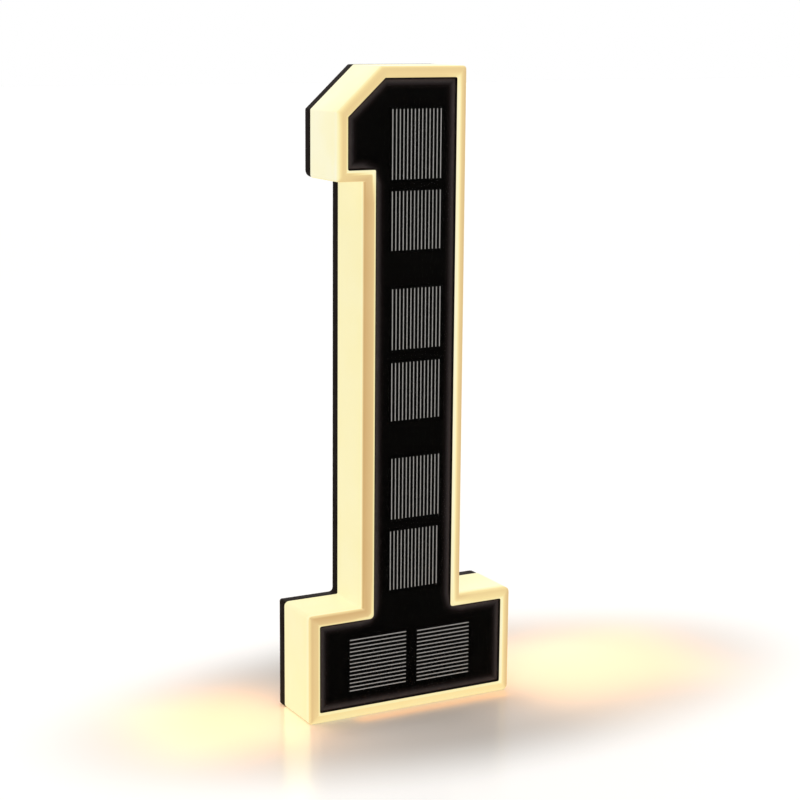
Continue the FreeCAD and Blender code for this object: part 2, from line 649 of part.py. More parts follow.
def make_lead(x):
    """Up from the plug, round one bend and forwards to the back of the panel's board."""
    rise = LEAD_EXIT_HEIGHT - PLUG_TOP
    run = LEAD_DEPTH_AT_PLUG - BOARD_BACK
    bend = LEAD_BEND_SHARE * min(rise, run)
    start = Vector(x, LEAD_DEPTH_AT_PLUG, PLUG_TOP)
    turn_in = Vector(x, LEAD_DEPTH_AT_PLUG, LEAD_EXIT_HEIGHT - bend)
    turn_out = Vector(x, LEAD_DEPTH_AT_PLUG - bend, LEAD_EXIT_HEIGHT)
    off = bend * (1 - math.sqrt(0.5))
    turn_mid = Vector(x, LEAD_DEPTH_AT_PLUG - off, LEAD_EXIT_HEIGHT - off)
    end = Vector(x, BOARD_BACK, LEAD_EXIT_HEIGHT)
    path = Part.Wire([Part.LineSegment(start, turn_in).toShape(),
                      Part.Arc(turn_in, turn_mid, turn_out).toShape(),
                      Part.LineSegment(turn_out, end).toShape()])
    section = Part.Wire([Part.makeCircle(LEAD_R, start, Vector(0, 0, 1))])
    lead = path.makePipeShell([section], True, False)
    expected = math.pi * LEAD_R ** 2 * path.Length
    print("lead at x %.2f: bend radius %.1f, volume %.2f against %.2f" % (x, bend, lead.Volume, expected))
    return lead


os.makedirs("parts", exist_ok=True)

save("diffuser_shell", make_shell())
save("rear_cover", make_cover())
save("rear_seal", make_seal())
save("cover_screws", [make_cover_screw(x, z) for x, z in screw_places()])
save("panel_cover", make_panel_cover())
save("panel_board", slab(RIM_WIDTH + PANEL_GAP, corner_radii(PANEL_RADII), BOARD_FRONT, BOARD_BACK))
save("panel_tape", make_tape())
for number, field in enumerate(cell_fields(), 1):
    cell = make_cell(field, CELL_MARGIN, BOARD_FRONT - CELL_THICK, BOARD_FRONT)
    save("solar_cell_%d" % number, cell)
save("cell_fingers", [strip for field in cell_fields() for strip in make_fingers(field)])
save("light_board", make_light_board())
save("light_chips", [make_light(x, z, turn) for x, z, turn in light_places()])
save("board_screws", [make_board_screw(x, z) for x, z in POSTS])
save("charge_chip", make_charge_chip())
save("power_coil", make_coil())
save("chip_capacitors", small_parts(CAPACITORS, CAPACITOR_THICK))
save("chip_resistors", small_parts(RESISTORS, RESISTOR_THICK))
save("switch_body", make_switch_body())
save("switch_plunger", make_plunger())
save("switch_button", make_button())
save("button_ring", make_ring())
save("battery_holder", make_holder())
save("battery_cell", make_battery())
positive, negative = make_contacts()
save("positive_contact", positive)
save("negative_contact", negative)
save("lead_socket", make_socket())
save("lead_plug", make_plug())
save("panel_lead_red", make_lead(-LEAD_SIDE))
save("panel_lead_black", make_lead(LEAD_SIDE))
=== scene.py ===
import math
import random

import bmesh
import bpy
from mathutils import Matrix, Vector


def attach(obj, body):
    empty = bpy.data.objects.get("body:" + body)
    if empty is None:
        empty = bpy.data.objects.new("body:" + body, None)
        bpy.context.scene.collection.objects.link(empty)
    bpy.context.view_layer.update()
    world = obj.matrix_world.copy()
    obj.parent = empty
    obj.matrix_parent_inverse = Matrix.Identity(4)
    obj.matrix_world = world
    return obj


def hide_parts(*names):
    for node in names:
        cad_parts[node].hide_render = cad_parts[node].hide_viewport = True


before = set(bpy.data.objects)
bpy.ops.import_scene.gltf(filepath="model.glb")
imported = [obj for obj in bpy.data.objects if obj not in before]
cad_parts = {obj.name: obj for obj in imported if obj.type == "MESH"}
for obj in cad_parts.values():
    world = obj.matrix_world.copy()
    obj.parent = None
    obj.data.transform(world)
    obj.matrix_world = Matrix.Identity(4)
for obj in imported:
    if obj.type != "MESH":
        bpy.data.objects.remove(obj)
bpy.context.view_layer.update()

scene = bpy.context.scene
mm = 0.001              # sizes are in millimetres, but for the studio's and the camera's
nearMm = 0.01           # places closer than this count as the same
weldMm = 0.003          # points closer than this after the cuts are joined
smoothDegrees = 30      # edges that turn further than this stay sharp

# the digit seen from the front: corners anticlockwise, and how round each one is
digit = {
    "corners": {
        "footLowLeft": (-44.5, 0.0), "footLowRight": (44.5, 0.0), "footTopRight": (44.5, 43.3),
        "rightStep": (21.35, 43.3), "headRight": (21.35, 250.0), "headTop": (-15.0, 250.0),
        "headSlant": (-32.95, 233.6), "headLow": (-32.95, 208.0), "neck": (-21.35, 208.0),
        "leftStep": (-21.35, 43.3), "footTopLeft": (-44.5, 43.3),
    },
    "shell": {"usual": 1.2, "footLowRight": 2.0, "footTopRight": 2.0, "footTopLeft": 1.8,
              "rightStep": 0.6, "leftStep": 0.6, "neck": 0.5, "headSlant": 0.8, "headTop": 0.8},
    "panel": {"usual": 0.7, "leftStep": 1.6, "rightStep": 1.0, "neck": 0.5, "headSlant": 0.4,
              "headTop": 0.4},
    "cover": {"usual": 0.8, "headLow": 2.6, "footTopRight": 2.6, "leftStep": 1.6},
    "inside": {"usual": 1.0},
    "cornerSteps": 6, "straightDegrees": 2,         # facets to a corner, and a turn too small for one
    "front": -14.25, "back": 14.25, "joint": 9.35,  # depths; shell and cover meet at the joint
}
cornerNames = list(digit["corners"])


def linear(hexText):
    # an sRGB hex colour as the linear colour that shaders take
    parts = [int(hexText[i:i + 2], 16) / 255 for i in (1, 3, 5)]
    return [p / 12.92 if p <= 0.04045 else ((p + 0.055) / 1.055) ** 2.4 for p in parts] + [1.0]


def addNode(tree, kind, settings={}, links={}):
    # a node with its settings, and links given as {socket: (other node, its output)}
    node = tree.nodes.new("ShaderNode" + kind)
    for key, value in settings.items():
        if key == "stops":
            stops = node.color_ramp.elements
            while len(stops) < len(value):
                stops.new(0.5)
            for stop, (place, shade) in zip(stops, value):
                stop.position = place
                stop.color = linear(shade)
        elif isinstance(key, str) and hasattr(node, key):
            setattr(node, key, value)
        else:
            node.inputs[key].default_value = linear(value) if isinstance(value, str) else value
    for key, (other, output) in links.items():
        tree.links.new(other.outputs[output], node.inputs[key])
    return node


def newMaterial(name):
    # an empty material, its node tree, and the link that lays a pattern on the object's coordinates
    material = bpy.data.materials.new(name)
    material.use_nodes = True
    tree = material.node_tree
    tree.nodes.clear()
    return material, tree, {"Vector": (addNode(tree, "TexCoord"), "Object")}


def endMaterial(tree, look, pattern, settings, links):
    # the gloss and bump that a look takes from its pattern, then the surface itself
    links = dict(links)
    if "gloss" in look:
        gloss = addNode(tree, "MapRange", {"To Min": look["gloss"][0], "To Max": look["gloss"][1]},
                        {"Value": (pattern, "Fac")})
        links["Roughness"] = (gloss, "Result")
    if "bump" in look:
        bump = addNode(tree, "Bump", {"Strength": look["bump"], "Distance": look["bumpMm"] * mm},
                       {"Height": (pattern, "Fac")})
        links["Normal"] = (bump, "Normal")
    surface = addNode(tree, "BsdfPrincipled", settings, links)
    addNode(tree, "OutputMaterial", {}, {"Surface": (surface, "BSDF")})


def selectOnly(*pieces):
    bpy.ops.object.select_all(action="DESELECT")
    for piece in pieces:
        piece.select_set(True)
    bpy.context.view_layer.objects.active = pieces[0]


def enterEdit():
    bpy.ops.object.mode_set(mode="EDIT")


def leaveEdit():
    bpy.ops.object.mode_set(mode="OBJECT")


def pickAll():
    bpy.ops.mesh.select_all(action="SELECT")


def leaveClosed():
    # out of edit mode, with every face of a closed body pointing outwards
    pickAll()
    bpy.ops.mesh.normals_make_consistent(inside=False)
    leaveEdit()


def pick(kind, test):
    # in edit mode, selects what the test finds by the middle of each vertex, edge or face
    bpy.ops.mesh.select_mode(type=kind)
    bpy.ops.mesh.select_all(action="DESELECT")
    mesh = bpy.context.object.data
    shape = bmesh.from_edit_mesh(mesh)
    group = {"VERT": shape.verts, "EDGE": shape.edges, "FACE": shape.faces}[kind]
    for item in group:
        spots = [item.co] if kind == "VERT" else [corner.co for corner in item.verts]
        if test(sum(spots, Vector()) / len(spots) / mm):
            item.select_set(True)
    bmesh.update_edit_mesh(mesh)


def pickOpenEdges():
    bpy.ops.mesh.select_mode(type="EDGE")
    bpy.ops.mesh.select_all(action="DESELECT")
    bpy.ops.mesh.select_non_manifold(use_wire=True, use_boundary=True, use_multi_face=False,
                                     use_non_contiguous=False, use_verts=False)


def drawOut(x, y, z):
    # extrudes what is selected
    bpy.ops.mesh.extrude_region_move(TRANSFORM_OT_translate={"value": (x * mm, y * mm, z * mm)})


def slide(x, y, z):
    bpy.ops.transform.translate(value=(x * mm, y * mm, z * mm))


def cutThrough(place, normal, **settings):
    # edges all round the body where a plane meets it
    pickAll()
    bpy.ops.mesh.bisect(plane_co=[value * mm for value in place], plane_no=normal, **settings)


def cornerAt(number):
    # corners by number, counted on past the last one
    return Vector(digit["corners"][cornerNames[number % len(cornerNames)]])


def halfTurn(name):
    # half the angle that the outline turns through at a corner
    at = cornerNames.index(name)
    return (cornerAt(at) - cornerAt(at - 1)).angle(cornerAt(at + 1) - cornerAt(at)) / 2


def drawOutline():
    # the foot as a plate, the stem and the flag drawn out of its edges, the slanted corner sliced off
    footHalf, footHeight = digit["corners"]["footTopRight"]
    stemHalf, height = digit["corners"]["headRight"]
    flagLeft, flagUnder = digit["corners"]["headLow"]
    bpy.ops.object.select_all(action="DESELECT")
    bpy.ops.mesh.primitive_plane_add(size=1, location=(0, 0, 0), rotation=(math.pi / 2, 0, 0))
    outline = bpy.context.object
    outline.name = "outline"
    bpy.ops.object.transform_apply(location=True, rotation=True, scale=True)
    enterEdit()
    pickAll()
    bpy.ops.transform.resize(value=(2 * footHalf * mm, 1, footHeight * mm))
    slide(0, 0, footHeight / 2)
    for side in (-stemHalf, stemHalf):
        cutThrough((side, 0, 0), (1, 0, 0))
    pick("EDGE", lambda at: abs(at.z - footHeight) < nearMm and abs(at.x) < nearMm)
    drawOut(0, 0, height - footHeight)
    cutThrough((0, 0, flagUnder), (0, 0, 1))
    pick("EDGE", lambda at: abs(at.x + stemHalf) < nearMm and at.z > flagUnder)
    drawOut(flagLeft + stemHalf, 0, 0)
    low, high = Vector(digit["corners"]["headSlant"]), Vector(digit["corners"]["headTop"])
    along = (high - low).normalized()
    cutThrough((low.x, 0, low.y), (-along.y, 0, along.x), clear_outer=True)
    pickAll()
    bpy.ops.mesh.dissolve_limited(angle_limit=math.radians(digit["straightDegrees"]))
    leaveEdit()
    return outline


def addRing(outline, inset, rounding, depth):
    # a copy of the outline, drawn in by the inset, with its corners rounded, at its depth
    selectOnly(outline)
    bpy.ops.object.duplicate()
    ring = bpy.context.object
    enterEdit()
    bpy.ops.mesh.select_mode(type="FACE")
    pickAll()
    if inset:
        bpy.ops.mesh.inset(thickness=inset * mm, use_even_offset=True)
        bpy.ops.mesh.select_all(action="INVERT")
        bpy.ops.mesh.delete(type="FACE")
    for name, (x, z) in digit["corners"].items():
        corner = Vector((x, 0, z))
        shape = bmesh.from_edit_mesh(ring.data)
        nearest = min((vertex.co / mm - corner).length for vertex in shape.verts)
        pick("VERT", lambda at: (at - corner).length < nearest + nearMm)
        radius = rounding.get(name, rounding["usual"])
        bpy.ops.mesh.bevel(offset=radius * math.tan(halfTurn(name)) * mm, offset_type="OFFSET",
                           affect="VERTICES", segments=digit["cornerSteps"])
    pickAll()
    slide(0, depth, 0)
    leaveEdit()
    return ring


def loftDigit(name, outline, rings):
    # a closed body through a stack of rings, each one bridged to the one before it; rings in one
    # plane can be bridged inside out, so each is bridged from well behind and then slid into place
    body = addRing(outline, *rings[0])
    away = 60
    for inset, rounding, depth in rings[1:]:
        ring = addRing(outline, inset, rounding, depth + away)
        enterEdit()
        pickAll()
        bpy.ops.mesh.delete(type="ONLY_FACE")
        leaveEdit()
        selectOnly(body, ring)
        bpy.ops.object.join()
        enterEdit()
        pickOpenEdges()
        bpy.ops.mesh.bridge_edge_loops()
        pickOpenEdges()
        slide(0, -away, 0)
        leaveEdit()
    enterEdit()
    pickOpenEdges()
    bpy.ops.mesh.edge_face_add()
    leaveClosed()
    body.name = name
    return body


def quarterRound(radius, steps):
    # a rounded edge from its face round to its side: how far in from the side, how far off the face
    turns = [math.pi / 2 * step / steps for step in range(steps + 1)]
    return [(radius * (1 - math.sin(turn)), radius * (1 - math.cos(turn))) for turn in turns]


def turned(name, profile, place, sides=40):
    # a body turned about an axis along Y, from (radius, depth) pairs
    x, z = place
    radius, depth = profile[0]
    bpy.ops.object.select_all(action="DESELECT")
    bpy.ops.mesh.primitive_circle_add(vertices=sides, radius=radius * mm, fill_type="NGON",
                                      location=(x * mm, depth * mm, z * mm), rotation=(math.pi / 2, 0, 0))
    body = bpy.context.object
    body.name = name
    bpy.ops.object.transform_apply(location=True, rotation=True, scale=True)
    enterEdit()
    bpy.ops.mesh.select_mode(type="FACE")
    pickAll()
    for nextRadius, nextDepth in profile[1:]:
        drawOut(0, nextDepth - depth, 0)
        share = nextRadius / radius
        bpy.ops.transform.resize(value=(share, 1, share), center_override=(x * mm, nextDepth * mm, z * mm))
        radius, depth = nextRadius, nextDepth
    leaveClosed()
    return body


def turnedAt(places, name, profile, sides):
    return [turned(name, profile, place, sides) for place in places]


def slotted(name, profile, place, rise):
    # a turned body whose upper half is drawn upwards, for keyholes and their pockets
    body = turned(name, profile, place)
    enterEdit()
    cutThrough((place[0], 0, place[1]), (0, 0, 1))
    pick("FACE", lambda at: at.z > place[1] + nearMm)
    drawOut(0, 0, rise)
    leaveClosed()
    return body


def combine(body, tools, operation):
    # adds the tools to the body or cuts them out of it, one by one
    for tool in tools:
        selectOnly(body)
        bpy.ops.object.modifier_add(type="BOOLEAN")
        change = body.modifiers[-1]
        change.object = tool
        change.operation = operation
        change.solver = "EXACT"
        bpy.ops.object.modifier_apply(modifier=change.name)
        bpy.data.objects.remove(tool, do_unlink=True)
    # points left almost on top of each other by the cuts are joined, and faces without area go
    enterEdit()
    pickAll()
    bpy.ops.mesh.remove_doubles(threshold=weldMm * mm)
    bpy.ops.mesh.dissolve_degenerate(threshold=weldMm * mm)
    leaveEdit()


def sliceAt(body, axis, places):
    # extra edges across a long body, so that what is painted on its points can change along it
    selectOnly(body)
    enterEdit()
    for place in places:
        cutThrough([part * place for part in axis], axis)
    leaveEdit()


def smooth(body):
    selectOnly(body)
    bpy.ops.object.shade_smooth_by_angle(angle=math.radians(smoothDegrees))


def dress(body, material, cadNode, carrier="sign"):
    # the piece gets its finish, stands for its solid and rides on its body
    body.data.materials.clear()
    body.data.materials.append(material)
    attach(body, carrier)
    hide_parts(cadNode)


def sideDistances(x, z):
    # how far a place is from each side of the digit, named by the corner that the side starts from
    here = Vector((x, z))
    distances = {}
    for at, name in enumerate(cornerNames):
        start, end = cornerAt(at), cornerAt(at + 1)
        share = max(0.0, min(1.0, (here - start).dot(end - start) / (end - start).length_squared))
        distances[name] = (here - start - (end - start) * share).length
    return distances


def paint(body, name, valueAt):
    # one number on each point of the body, from its place in millimetres
    layer = body.data.attributes.new(name, "FLOAT", "POINT")
    for point, vertex in zip(layer.data, body.data.vertices):
        point.value = valueAt(vertex.co / mm)


outline = drawOutline()
print("outline has", len(outline.data.vertices), "corners")

# the shell: opal casing, lit from inside, with a rounded rim and a small slope down to the panel
shell = {
    "wall": 2.0, "rimWidth": 4.2, "lipWidth": 0.8, "lipDepth": 0.6, "rimDrop": 0.8,
    "edgeRadius": 1.0, "edgeSteps": 6, "softEdge": 0.15,
    "panelFront": -13.65, "floorFront": -10.9, "floorBack": -9.3,
    "wallFront": -12.66,        # where the rim's rounded edge ends and the side wall begins
    "seatShadeLow": 0.06,         # painted shade: the panel's seat is painted black to just under the panel's face, for the shadowed gap round the panel
    "screws": ((-39.9, 4.6), (39.9, 4.6), (39.9, 38.7), (-39.9, 38.7),
               (-16.75, 125.0), (16.75, 125.0), (16.75, 245.4), (-28.35, 212.6)),
    # bosses for the screws: a slightly wider foot, and an end just short of the joint
    "bossRadius": 2.7, "bossFoot": 0.3, "bossFront": -9.6, "bossFootBack": -8.6, "bossGap": 0.02,
    # the bosses' holes, with a mouth that opens out past the joint
    "pilotRadius": 1.3, "pilotDepth": 10.0, "pilotMouth": 0.3, "pilotWiden": 0.4, "pilotPast": 0.25,
    "leadSlot": (0.0, 109.0), "leadSlotRadius": 1.8, "leadSlotFront": -11.5, "leadSlotBack": -8.9,
    "rimRings": (3.1, 2.8, 2.4, 2.0, 1.6, 1.2),
    "wallRings": (-12.4, -12.0, -11.6, -11.2, -10.6, -9.6, -7.5, -4.0, 0.0, 5.0, 8.2),
    # cuts across the shell that let its light change along each side
    "cutsUp": (12, 22, 32, 55, 70, 90, 110, 130, 150, 170, 190, 200, 218, 228, 240),
    "cutsAcross": (-38, -28, -12, 0, 12, 28, 38),
    # how light the shell is at these distances from the panel, over the rim and on down the wall: partly its
    # own glow, partly painted shade and highlight
    "paintAt": (0.6, 1.1, 2.2, 3.4, 4.8, 7.0, 10.0, 22.0), "edgePlaces": (3.4, 4.8),
    # each side by the corner it starts from: the light at those places, lighter or darker from side to side
    # partly as painted light and shade, and how far the two round the rim's edge are moved on, which carries
    # the rim's painted shade round onto the wall
    "sides": {
        "footLowLeft": ((0.83, 0.71, 0.73, 0.77, 0.80, 0.77, 0.80, 0.82), 0.0),
        "footLowRight": ((0.96, 0.74, 0.50, 0.36, 0.60, 0.86, 0.88, 0.89), 0.0),
        "footTopRight": ((0.77, 0.70, 0.62, 0.55, 0.78, 0.96, 0.95, 0.91), 0.0),
        "rightStep": ((0.95, 0.86, 0.51, 0.38, 0.60, 0.86, 0.88, 0.89), 0.0),
        "headRight": ((0.62, 0.56, 0.53, 0.51, 0.93, 0.93, 0.95, 0.96), 0.0),
        "headTop": ((0.60, 0.50, 0.50, 0.60, 0.90, 0.92, 0.95, 0.96), -0.2),
        "headSlant": ((0.78, 0.52, 0.53, 0.70, 0.97, 0.94, 0.96, 0.97), -0.4),
        "headLow": ((1.00, 0.58, 0.52, 0.48, 0.85, 0.81, 0.83, 0.85), 0.2),
        "neck": ((0.84, 0.40, 0.31, 0.16, 0.92, 0.86, 0.88, 0.89), 0.9),
        "leftStep": ((0.72, 0.42, 0.29, 0.20, 0.90, 0.86, 0.88, 0.89), 0.0),
        "footTopLeft": ((0.82, 0.48, 0.46, 0.38, 0.92, 0.86, 0.88, 0.89), 0.0),
    },
    # near a corner the light is a mix of both sides', and the nearer side's counts for more
    "blendMm": 0.35, "blendPower": 4,
    "seatSlack": 0.05,          # how far off the panel's seat still counts as the seat
}


def shellCorners(inset):
    # corner radii that change evenly from the outside of the shell to the panel
    share = min(inset / shell["rimWidth"], 1.0)
    return {name: digit["shell"].get(name, digit["shell"]["usual"]) * (1 - share)
            + digit["panel"].get(name, digit["panel"]["usual"]) * share for name in cornerNames + ["usual"]}


def rimEdgeRings(slope):
    # the rim's rounded outer edge, from its sloping face round to the side wall
    tilt = math.atan(slope)
    radius, steps = shell["edgeRadius"], shell["edgeSteps"]
    centre = digit["front"] + shell["rimDrop"] - slope * radius + radius / math.cos(tilt)
    rings = []
    for step in range(steps, -1, -1):
        angle = (math.pi / 2 - tilt) * step / steps
        inset = radius * (1 - math.cos(angle))
        rings.append((inset, shellCorners(inset), centre - radius * math.sin(angle)))
    return rings


def buildShell():
    width, lip, soft = shell["rimWidth"], shell["lipWidth"], shell["softEdge"]
    face, joint, wall = digit["front"], digit["joint"], shell["wall"]
    slope = shell["rimDrop"] / (width - lip)
    seat = (shell["floorFront"], shell["panelFront"] + shell["seatShadeLow"], shell["panelFront"])
    rings = [(width, shellCorners(width), depth) for depth in seat]
    rings += [(width - lip + soft, shellCorners(width - lip), face + soft * shell["lipDepth"] / lip),
              (width - lip, shellCorners(width - lip), face),
              (width - lip - soft, shellCorners(width - lip), face + soft * slope)]
    rings += [(inset, shellCorners(inset), face + (width - lip - inset) * slope)
              for inset in shell["rimRings"]]
    rings += rimEdgeRings(slope)
    rings += [(0, shellCorners(0), depth) for depth in shell["wallRings"] + (joint,)]
    rings += [(wall, shellCorners(wall), joint), (wall, shellCorners(wall), shell["floorBack"])]
    body = loftDigit("diffuserShell", outline, rings)

    radius = shell["bossRadius"]
    boss = [(radius + shell["bossFoot"], shell["bossFront"]), (radius, shell["bossFootBack"]),
            (radius, joint - shell["bossGap"])]
    combine(body, turnedAt(shell["screws"], "boss", boss, sides=24), "UNION")
    radius = shell["pilotRadius"]
    pilot = [(radius, joint - shell["pilotDepth"]), (radius, joint - shell["pilotMouth"]),
             (radius + shell["pilotWiden"], joint + shell["pilotPast"])]
    combine(body, turnedAt(shell["screws"], "pilot", pilot, sides=24), "DIFFERENCE")
    radius = shell["leadSlotRadius"]
    slot = [(radius, shell["leadSlotFront"]), (radius, shell["leadSlotBack"])]
    combine(body, [turned("leadSlot", slot, shell["leadSlot"], sides=24)], "DIFFERENCE")
    sliceAt(body, (0, 0, 1), shell["cutsUp"])
    sliceAt(body, (1, 0, 0), shell["cutsAcross"])
    return body


def lightAlong(side, distance):
    # the light of one side at a distance from the panel, between the places given for it
    levels, moved = shell["sides"][side]
    places = [place + moved * (place in shell["edgePlaces"]) for place in shell["paintAt"]]
    for at in range(len(places) - 1):
        if distance < places[at + 1]:
            share = max(0.0, (distance - places[at]) / (places[at + 1] - places[at]))
            return levels[at] + (levels[at + 1] - levels[at]) * share
    return levels[-1]


# the shell's light on each point: its own glow with painted shade and highlight from the side table, and
# painted black shade on the seat
def paintShell(body):
    width, slack = shell["rimWidth"], shell["seatSlack"]
    seatShadeFront, seatShadeBack = shell["panelFront"] + shell["seatShadeLow"] / 2, shell["floorFront"] + slack

    def lightAt(at):
        gaps = sideDistances(at.x, at.z)
        inset = min(gaps.values())
        if inset > width - slack and seatShadeFront < at.y < seatShadeBack:
            return 0.0                                      # painted shade: the seat is black, for the shadowed gap round the panel
        distance = width - inset + max(0.0, at.y - shell["wallFront"])
        near = {name: 1 / (gap + shell["blendMm"]) ** shell["blendPower"] for name, gap in gaps.items()}
        return sum(near[name] * lightAlong(name, distance) for name in near) / sum(near.values())

    paint(body, "light", lightAt)


opal = {
    # the first two stops are the seat's painted black, shade for the gap round the panel; the dimmer the
    # light, the warmer it is
    "glow": [(0.0, "#0B0807"), (0.04, "#0B0807"), (0.1, "#CDA66E"), (0.4, "#E1C28A"), (0.7, "#F8E2A2"),
             (0.86, "#FEF4BC"), (0.95, "#FFF9D0"), (1.0, "#FFFDE4")],
    "ownLight": 0.76, "bodyShare": 0.30, "shine": 0.12, "cloudMm": 14.0, "cloudShare": 0.03,
    "skinMm": 0.9, "gloss": (0.42, 0.5), "bump": 0.04, "bumpMm": 0.05,
}


def opalMaterial():
    # opal polycarbonate, injection moulded: milky and satin, glowing warm from the lights behind it,
    # a little uneven where the lights are nearer, with the soft skin of a polished mould
    material, tree, onObject = newMaterial("opalPolycarbonateMoulded")
    cloud = addNode(tree, "TexNoise", {"Scale": 1 / (opal["cloudMm"] * mm), "Detail": 2.0, "Roughness": 0.4},
                    onObject)
    uneven = addNode(tree, "MapRange", {"To Min": -opal["cloudShare"], "To Max": opal["cloudShare"]},
                     {"Value": (cloud, "Fac")})
    # the painted light of each point sets the glow's colour and strength: the shell's own glow with painted
    # shade and highlight in it
    light = addNode(tree, "Attribute", {"attribute_name": "light"})
    level = addNode(tree, "Math", {"operation": "ADD", "use_clamp": True},
                    {0: (light, "Fac"), 1: (uneven, "Result")})
    glow = addNode(tree, "ValToRGB", {"stops": opal["glow"]}, {"Fac": (level, "Value")})
    body = addNode(tree, "Mix", {"data_type": "RGBA", "blend_type": "MULTIPLY", 0: 1.0,
                                 7: [opal["bodyShare"]] * 3 + [1.0]}, {6: (glow, "Color")})
    skin = addNode(tree, "TexNoise", {"Scale": 1 / (opal["skinMm"] * mm), "Detail": 3.0}, onObject)
    endMaterial(tree, opal, skin,
                {"IOR": 1.45, "Specular IOR Level": opal["shine"], "Emission Strength": opal["ownLight"]},
                {"Base Color": (body, 2), "Emission Color": (glow, "Color")})
    return material


diffuserShell = buildShell()
paintShell(diffuserShell)
smooth(diffuserShell)
dress(diffuserShell, opalMaterial(), "diffuser_shell")
print("shell", len(diffuserShell.data.polygons), "faces")

# the rear cover: black tray with sunk screws, two keyholes and a finger dish round the button
cover = {
    "edge": 0.6, "edgeSteps": 4, "wall": 3.35, "plateInner": 11.85, "sealInset": 0.6, "sealSize": 0.8,
    "locatorFront": 7.85, "locatorInset": 2.15, "jointBreak": 0.12, "locatorBreak": 0.2,
    "cutsFrom": 7.0, "backCutsFrom": 11.0,      # cuts start before the whole tray, or just inside its back
    "bite": 0.2,                                # how deep what is added stands in the plate
    # bosses for the screws, room for the shell's own bosses, and the screws' sunk holes
    "bossRadius": 3.25, "bossGap": 0.02, "roomRadius": 2.85, "clearRadius": 1.45, "sinkRadius": 2.6,
    "sinkDepth": 1.8, "mouth": 0.15,
    # posts that carry the light board, each on a wider foot
    "posts": ((0.0, 234.5), (0.0, 150.0), (-30.5, 21.5), (30.5, 21.5)),
    "postRadius": 2.5, "postPilot": 0.85, "postFront": 8.0, "postFoot": 0.5, "postFootFront": 11.2,
    "keyholes": ((0.0, 212.0), (0.0, 92.0)), "entryRadius": 4.2, "slotRadius": 2.1, "slotRise": 9.0,
    "pocketRadius": 5.2, "pocketWall": 0.8, "pocketFront": 9.0,
    "button": (0.0, 62.0), "buttonHole": 4.65, "collarBore": 5.8, "collarWall": 1.0,
    # the dish's floor ends in a soft corner, given out from the floor's edge and up from the floor
    "dishFloor": 6.8, "dishTop": 8.0, "dishDepth": 0.9, "dishCorner": ((-0.25, 0.0), (0.1, 0.12)),
    "dishPast": 0.2,
}


def coverRings():
    back, joint = digit["back"], digit["joint"]
    outer, inside = digit["cover"], digit["inside"]
    groove, size, wall = cover["sealInset"], cover["sealSize"], cover["wall"]
    locator, tip = cover["locatorInset"], cover["locatorFront"]
    edge, corner = cover["jointBreak"], cover["locatorBreak"]
    rings = [(across, outer, back - down) for across, down in quarterRound(cover["edge"], cover["edgeSteps"])]
    rings += [(0, outer, joint + edge), (edge, outer, joint)]
    rings += [(groove, outer, joint), (groove, outer, joint + size)]
    rings += [(groove + size, inside, joint + size), (groove + size, inside, joint)]
    rings += [(locator, inside, joint), (locator, inside, tip + corner), (locator + corner, inside, tip)]
    return rings + [(wall, inside, tip), (wall, inside, cover["plateInner"])]


def addCoverBodies(body):
    # room for the shell's bosses, then bosses, posts, keyhole pockets and the button's collar
    joint, front, plate = digit["joint"], cover["postFront"], cover["plateInner"] + cover["bite"]
    radius = cover["roomRadius"]
    room = [(radius, cover["cutsFrom"]), (radius, joint)]
    combine(body, turnedAt(shell["screws"], "room", room, sides=32), "DIFFERENCE")
    radius = cover["bossRadius"]
    boss = [(radius, joint + cover["bossGap"]), (radius, plate)]
    combine(body, turnedAt(shell["screws"], "boss", boss, sides=32), "UNION")
    radius = cover["postRadius"]
    post = [(radius, front), (radius, cover["postFootFront"]), (radius + cover["postFoot"], plate)]
    combine(body, turnedAt(cover["posts"], "post", post, sides=32), "UNION")
    radius = cover["pocketRadius"] + cover["pocketWall"]
    pocket = [(radius, cover["pocketFront"] - cover["pocketWall"]), (radius, plate)]
    pockets = [slotted("pocket", pocket, place, cover["slotRise"]) for place in cover["keyholes"]]
    combine(body, pockets, "UNION")
    radius = cover["collarBore"] + cover["collarWall"]
    combine(body, [turned("collar", [(radius, front), (radius, plate)], cover["button"], sides=48)], "UNION")


def backMouth(radius):
    # the end of a hole in the back, its rim broken, as (radius, depth) pairs
    back, mouth = digit["back"], cover["mouth"]
    return [(radius, back - mouth), (radius + 2 * mouth, back + mouth)]


